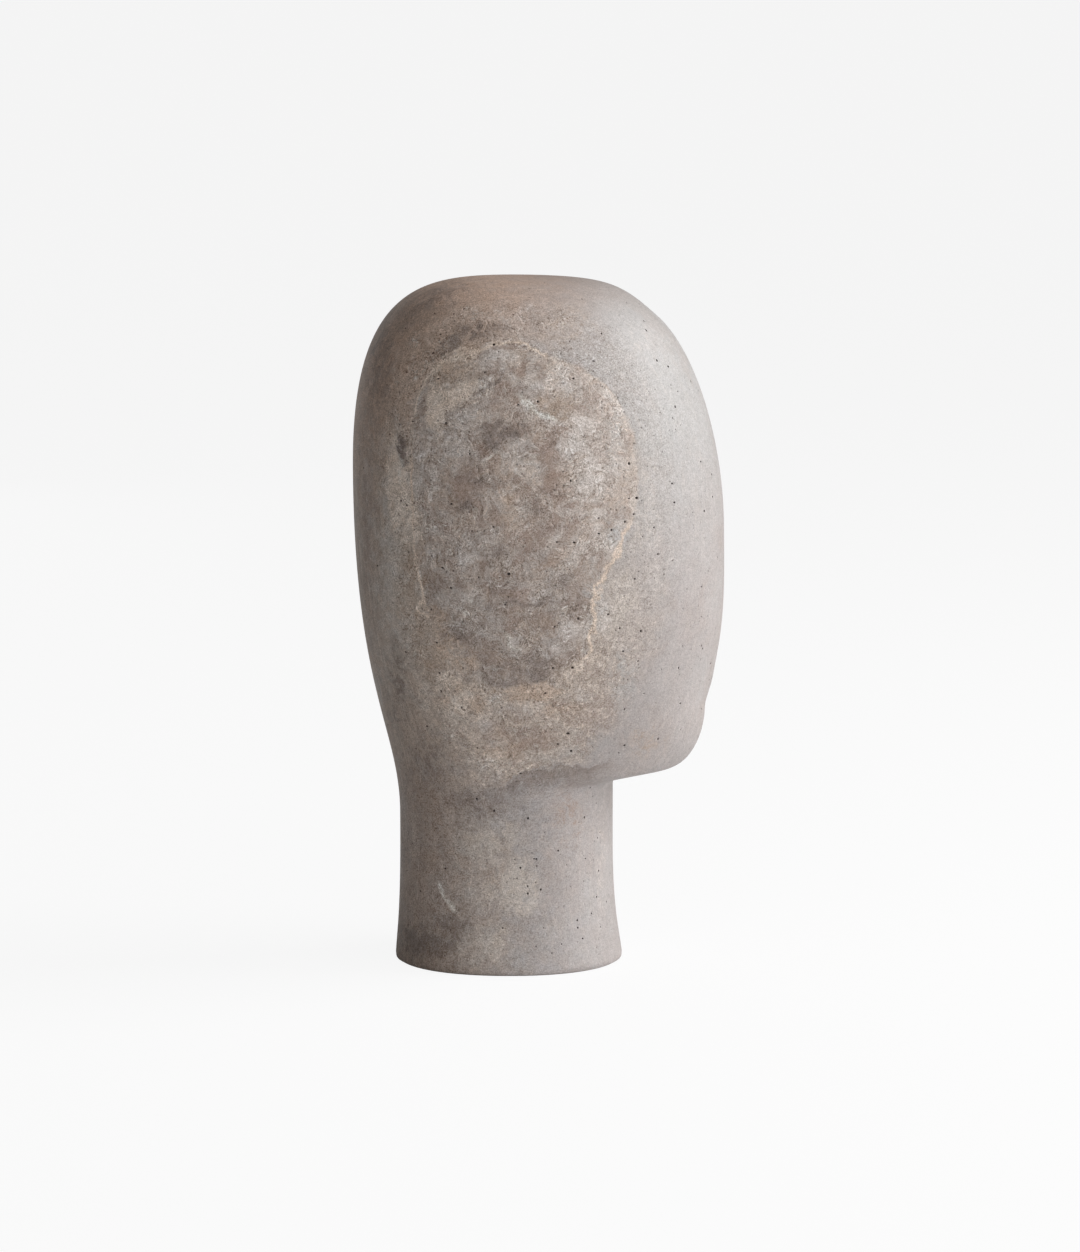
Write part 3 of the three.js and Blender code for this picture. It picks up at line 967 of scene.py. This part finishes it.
def layered(stone):
    """Lays the layers from the deepest to the core, with their curls. Also gives masks by name: the
    warm layer, how it weakens towards the face, the back half and the stone with winding lines."""
    ragged = stone.fitted(stone.clouds(stone.bent, 9, 5.0, 0.7), 16.0, -8.0)
    warm = stone.step(stone.maths("ADD", stone.depth, ragged), -19.0, -9.0)
    low_down = stone.fitted(stone.step(stone.z, 250.0, 175.0), 0.7, 0.2)
    inward = stone.fitted(stone.step(stone.x, 80.0, 35.0), 0.5, 0.5)
    cover = stone.times(warm, stone.times(low_down, inward))
    surface = stone.mix(cover, deep_stone(stone), warm_stone(stone))
    surface = collared(stone, surface)
    core = stone.step(stone.fitted(ragged, 0.12, stone.depth), -0.6, 0.4)
    surface = stone.mix(core, surface, core_stone(stone))
    back = stone.step(stone.x, 55.0, 15.0)
    wound = stone.maths("MAXIMUM", core, stone.times(warm, back))
    surface = stone.mix(stone.times(wound, 0.9), surface, curls(stone, surface))
    return surface, {"warm": warm, "inward": inward, "back": back, "wound": wound}


def with_grain(stone, shade, cloud, busy, amount):
    """Adds one size of grain to a shade."""
    part = stone.times(stone.maths("SUBTRACT", cloud, 0.5), busy)
    return stone.fitted(part, amount, shade)


def grained(stone, masks, surface):
    """Grain of three sizes and winding lines, strongest where the stone is busy, and redder where it
    is darker, with soft clouds of another hue. Also gives the fine grain."""
    patchy = stone.step(stone.clouds(stone.bent, 26, 3.0, 0.6), 0.4, 0.6)
    patchy = stone.fitted(patchy, 0.3, 0.7)
    low_side = stone.fitted(stone.step(stone.z, 125.0, 95.0), 0.4, 0.6)
    back_side = stone.times(stone.step(stone.x, 45.0, -30.0), low_side)
    rough_side = stone.maths("MAXIMUM", stone.times(masks["warm"], masks["inward"]), back_side)
    busy = stone.fitted(stone.times(rough_side, patchy), 0.68, 0.52)
    fine = stone.clouds(stone.place, 0.75, 1.5, 0.8)
    middle = stone.clouds(stone.bent, 3.0, 3.0, 0.9)
    coarse = stone.clouds(stone.curled, 12, 3.0, 0.7)
    shade = with_grain(stone, 1.0, fine, busy, FINE_GRAIN)
    shade = with_grain(stone, shade, middle, busy, MIDDLE_GRAIN)
    lines = stone.times(winding_lines(stone), masks["wound"])
    shade = stone.fitted(lines, WINDING_GRAIN, shade)
    shade = with_grain(stone, shade, coarse, busy, COARSE_GRAIN)
    hue = stone.fitted(stone.clouds(stone.bent, 8, 5.0, 0.6), 0.16, -0.08)
    hue = stone.times(hue, stone.fitted(masks["back"], 0.8, 0.2))
    red = stone.maths("POWER", shade, stone.fitted(rough_side, -0.08, 0.97))
    red = stone.times(red, stone.maths("ADD", hue, 1.0))
    blue = stone.maths("POWER", shade, stone.fitted(rough_side, 0.08, 1.03))
    blue = stone.times(blue, stone.maths("SUBTRACT", 1.0, hue))
    tone = stone.add("CombineXYZ", {0: red, 1: shade, 2: blue}).outputs[0]
    return stone.mix(1.0, surface, tone, "MULTIPLY"), fine


def travertine(colours):
    """Bedded stone. Its layers lie nearly parallel to the XZ plane and are told by their depth."""
    material, tree, shader = new_material("travertine")
    stone = Stone(tree, colours)
    surface, masks = layered(stone)
    surface = stained(stone, surface)
    surface = veined(stone, surface)
    surface, fine = grained(stone, masks, surface)

    # Open pits and pores, darkened with dirt and with painted shade of their depth.
    # The pores are dark dots with a shallow bump: painted shade of small holes that the mesh does not
    # cut, with their dirt.
    pores = stone.maths("MAXIMUM", small_pores(stone, stone.place, 4.2, 0.7),
                        small_pores(stone, stone.bent, 2.6, 0.5))
    pores = stone.times(pores, stone.fitted(masks["warm"], 0.55, 0.35))
    cut = tree.nodes.new("ShaderNodeAttribute")
    cut.attribute_name = "pit_depth"
    # Painted shade: the cut pits darken with their depth, together with their dirt.
    deep = stone.step(cut.outputs["Fac"], 0.0, 0.6)
    holes = stone.maths("MAXIMUM", stone.times(pores, 0.75), stone.times(deep, 0.9))
    surface = stone.laid(holes, surface, "pit_dirt_and_shade")

    stone.feed(shader.inputs["Base Color"], surface)
    roughness = stone.fitted(fine, 0.2, 0.42)
    stone.feed(shader.inputs["Roughness"], stone.fitted(holes, 0.3, roughness))
    height = stone.maths("SUBTRACT", stone.times(fine, 0.1), pores)
    bump = stone.add("Bump", {"Height": height, "Distance": 0.2 * MM, "Strength": 0.6})
    stone.feed(shader.inputs["Normal"], bump.outputs["Normal"])
    return material


def pale_floor(shade):
    """A plain matt floor that the camera sees nearly white, as in a studio."""
    material, tree, shader = new_material("pale_floor")
    shader.inputs["Base Color"].default_value = (*shade, 1)
    shader.inputs["Roughness"].default_value = 0.9
    graph = Graph(tree)
    glow = graph.add("Emission", {"Color": (1, 1, 1, 1), "Strength": 1.0})
    seen = graph.times(tree.nodes.new("ShaderNodeLightPath").outputs["Is Camera Ray"], FLOOR_GLOW)
    blend = graph.add("MixShader", {0: seen, 1: shader.outputs[0], 2: glow.outputs[0]})
    graph.feed(tree.nodes["Material Output"].inputs["Surface"], blend.outputs[0])
    return material


class HEAD_OT_stone(bpy.types.Operator):
    """Build the travertine head with its pits and layers"""

    bl_idname = "travertine_head.stone"
    bl_label = "Stone Head"

    def execute(self, context):
        settings = context.scene.travertine_head
        stone = carve(build_skin(settings))
        stone.data.materials.append(travertine(settings.colours))
        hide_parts("stone_head")
        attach(stone, "root")
        return {"FINISHED"}


# The studio's lights: azimuth in degrees from the camera's side towards the face, and elevation.
# All have one width and distance.
STUDIO_LIGHTS = (
    ("side_high", 95, 40), ("side_low", 75, 8), ("corner", 50, 20), ("front", 20, 40), ("back", -150, 12))
LIGHT_WIDTH = 1.3
LIGHT_DISTANCE = 2.2

# The floor's half width, how little it lies below the foot, to keep the two faces apart, and the
# share of an even glow in what the camera sees of it.
FLOOR_REACH = 60.0
FLOOR_GAP = 0.05 * MM
FLOOR_GLOW = 0.9

# The camera's distance from the middle of the head, its elevation, where it looks, and its lens.
CAMERA_DISTANCE = 3.0
CAMERA_RISE = math.radians(7.96)
CAMERA_AIM = Vector((16.8 * MM, 0, 185.8 * MM))
LENS = 155.6
SENSOR_WIDTH = 36
FARTHEST_SEEN = 60


def studio_light(name, azimuth, elevation, power):
    """A wide square soft light that faces the middle of the head."""
    turn, rise = math.radians(azimuth), math.radians(elevation)
    away = Vector((math.sin(turn) * math.cos(rise), -math.cos(turn) * math.cos(rise), math.sin(rise)))
    data = bpy.data.lights.new(name, "AREA")
    data.shape = "SQUARE"
    data.size = LIGHT_WIDTH
    data.energy = power
    lamp = bpy.data.objects.new(name, data)
    lamp.location = Vector((0, 0, HEIGHT / 2)) + away * LIGHT_DISTANCE
    lamp.rotation_euler = away.to_track_quat("Z", "Y").to_euler()
    bpy.context.scene.collection.objects.link(lamp)


def build_floor(look):
    """A wide plain floor under the head."""
    far = FLOOR_REACH
    corners = [(-far, -far, 0), (far, -far, 0), (far, far, 0), (-far, far, 0)]
    floor = mesh_object("floor", corners, [(0, 1, 2, 3)])
    floor.location.z = -FLOOR_GAP
    floor.data.materials.append(pale_floor(look.floor))


def build_camera():
    """A long lens a little above the head, looking at its side."""
    data = bpy.data.cameras.new("camera")
    data.sensor_width = SENSOR_WIDTH
    data.lens = LENS
    data.clip_end = FARTHEST_SEEN
    camera = bpy.data.objects.new("camera", data)
    away = Vector((0, -math.cos(CAMERA_RISE), math.sin(CAMERA_RISE)))
    camera.location = Vector((0, 0, HEIGHT / 2)) + away * CAMERA_DISTANCE
    camera.rotation_euler = (CAMERA_AIM - camera.location).to_track_quat("-Z", "Y").to_euler()
    bpy.context.scene.collection.objects.link(camera)
    bpy.context.scene.camera = camera


class HEAD_OT_stage(bpy.types.Operator):
    """Build the floor, the soft studio light and the camera"""

    bl_idname = "travertine_head.stage"
    bl_label = "Stage"

    def execute(self, context):
        look = context.scene.travertine_head.stage
        build_floor(look)
        for name, azimuth, elevation in STUDIO_LIGHTS:
            studio_light(name, azimuth, elevation, getattr(look, name))
        world = bpy.data.worlds.new("room")
        world.use_nodes = True
        background = world.node_tree.nodes["Background"]
        background.inputs["Color"].default_value = (1, 1, 1, 1)
        background.inputs["Strength"].default_value = look.world
        context.scene.world = world
        context.scene.view_settings.view_transform = "Standard"
        build_camera()
        return {"FINISHED"}


class HEAD_PT_panel(bpy.types.Panel):
    """Lists the pieces and what can be changed"""

    bl_idname = "HEAD_PT_panel"
    bl_label = "Travertine Head"
    bl_space_type = "VIEW_3D"
    bl_region_type = "UI"
    bl_category = "Travertine Head"

    def draw(self, context):
        settings = context.scene.travertine_head
        for operator in OPERATORS:
            self.layout.operator(operator.bl_idname)
        for group in (settings.sizes, settings.pits, settings.colours, settings.stage):
            box = self.layout.box()
            for name in group.__annotations__:
                box.prop(group, name)


OPERATORS = (HEAD_OT_stage, HEAD_OT_stone)
CLASSES = (StoneSizes, StonePits, StoneColours, StageLook, HeadSettings, *OPERATORS, HEAD_PT_panel)


def register():
    """Adds the classes and the settings to Blender."""
    for item in CLASSES:
        bpy.utils.register_class(item)
    bpy.types.Scene.travertine_head = PointerProperty(type=HeadSettings)


def unregister():
    """Takes the classes and the settings out again."""
    del bpy.types.Scene.travertine_head
    for item in reversed(CLASSES):
        bpy.utils.unregister_class(item)


def main():
    """Builds the stage and the stone."""
    register()
    bpy.ops.travertine_head.stage()
    bpy.ops.travertine_head.stone()


if __name__ == "__main__":
    main()
